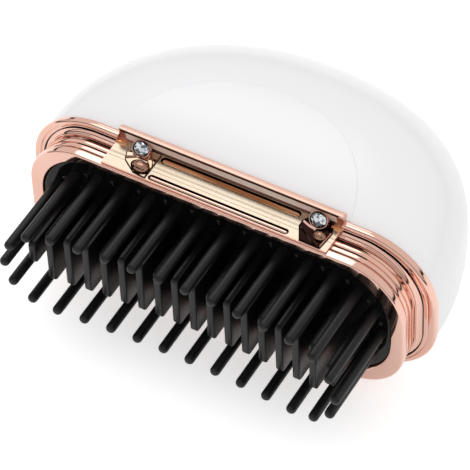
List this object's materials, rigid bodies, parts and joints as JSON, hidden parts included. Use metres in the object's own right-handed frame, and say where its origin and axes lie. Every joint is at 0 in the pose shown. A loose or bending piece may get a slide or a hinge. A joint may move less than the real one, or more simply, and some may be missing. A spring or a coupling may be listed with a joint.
{
  "type": "hair straightening brush",
  "caption": "Palm-sized domed hair straightening brush with heated fins inside a ring of guard pins, a banded metal trim with a jewelled bar and a power button on one end.",
  "frame": {"origin": "bottom centre of the bounding box, on the plane that the brush's back pad rests on", "axes": "+X along the brush, +Z out of the front face, +Y towards the top of the dome, with the pins pointing along -Y"},
  "size_m": [0.1064, 0.0852, 0.0477],
  "materials": {
    "white_gloss": "high gloss",
    "white_satin": "satin",
    "rose_chrome": "polished, rose tint",
    "clear_stone": "cut and polished",
    "black_gloss": "high gloss",
    "black_satin": "satin",
    "black_coated_metal": "satin ceramic coat",
    "seal_rubber": "matte",
    "heater_metal": "machined",
    "heater_ceramic": "ceramic, dull",
    "amber_film": "film",
    "steel": "stamped",
    "sensor_body": "dipped",
    "lead_sleeve": "silicone sleeve",
    "frame_plastic": "moulded",
    "board_green": "solder resist",
    "chip_black": "moulded",
    "cell_sleeve": "shrink sleeve over a metal can",
    "lamp_clear": "clear moulded"
  },
  "bodies": {
    "housing": {"shell": "white_gloss", "front_panel": "white_gloss", "rear_panel": "white_satin", "trim_ring": "rose_chrome", "lip_ring": "rose_chrome", "buckle_bar": "rose_chrome", "clasp_left": "rose_chrome", "clasp_right": "rose_chrome", "bezel_left": "rose_chrome", "bezel_right": "rose_chrome", "crystal_left": "clear_stone", "crystal_right": "clear_stone", "bristle_plate": "black_gloss", "guard_pins": "black_satin", "heating_fins": "black_coated_metal", "plate_seal": "seal_rubber", "heater_base": "heater_metal", "ptc_heaters": "heater_ceramic", "insulation_sheet": "amber_film", "heater_clamp": "steel", "thermistor": "sensor_body", "thermal_fuse": "steel", "heater_leads": "lead_sleeve", "inner_frame": "frame_plastic", "control_board": "board_green", "board_chips": "chip_black", "battery_holder": "frame_plastic", "battery_cell_front": "cell_sleeve", "battery_cell_rear": "cell_sleeve", "battery_contacts": "steel", "tact_switch": "chip_black", "usb_socket": "steel", "status_led": "lamp_clear", "light_pipe": "lamp_clear", "frame_screws": "steel", "plate_screws": "steel", "holder_screws": "steel", "heater_screws": "steel"},
    "power_button": {"power_button": "white_gloss", "switch_plunger": "frame_plastic"}
  },
  "joints": [
    {"name": "power_button_press", "type": "slide", "parent": "housing", "child": "power_button", "axis": [1, 0, 0], "range_m": [0, 0.0005], "stiffness_N_per_m": 4000}
  ]
}
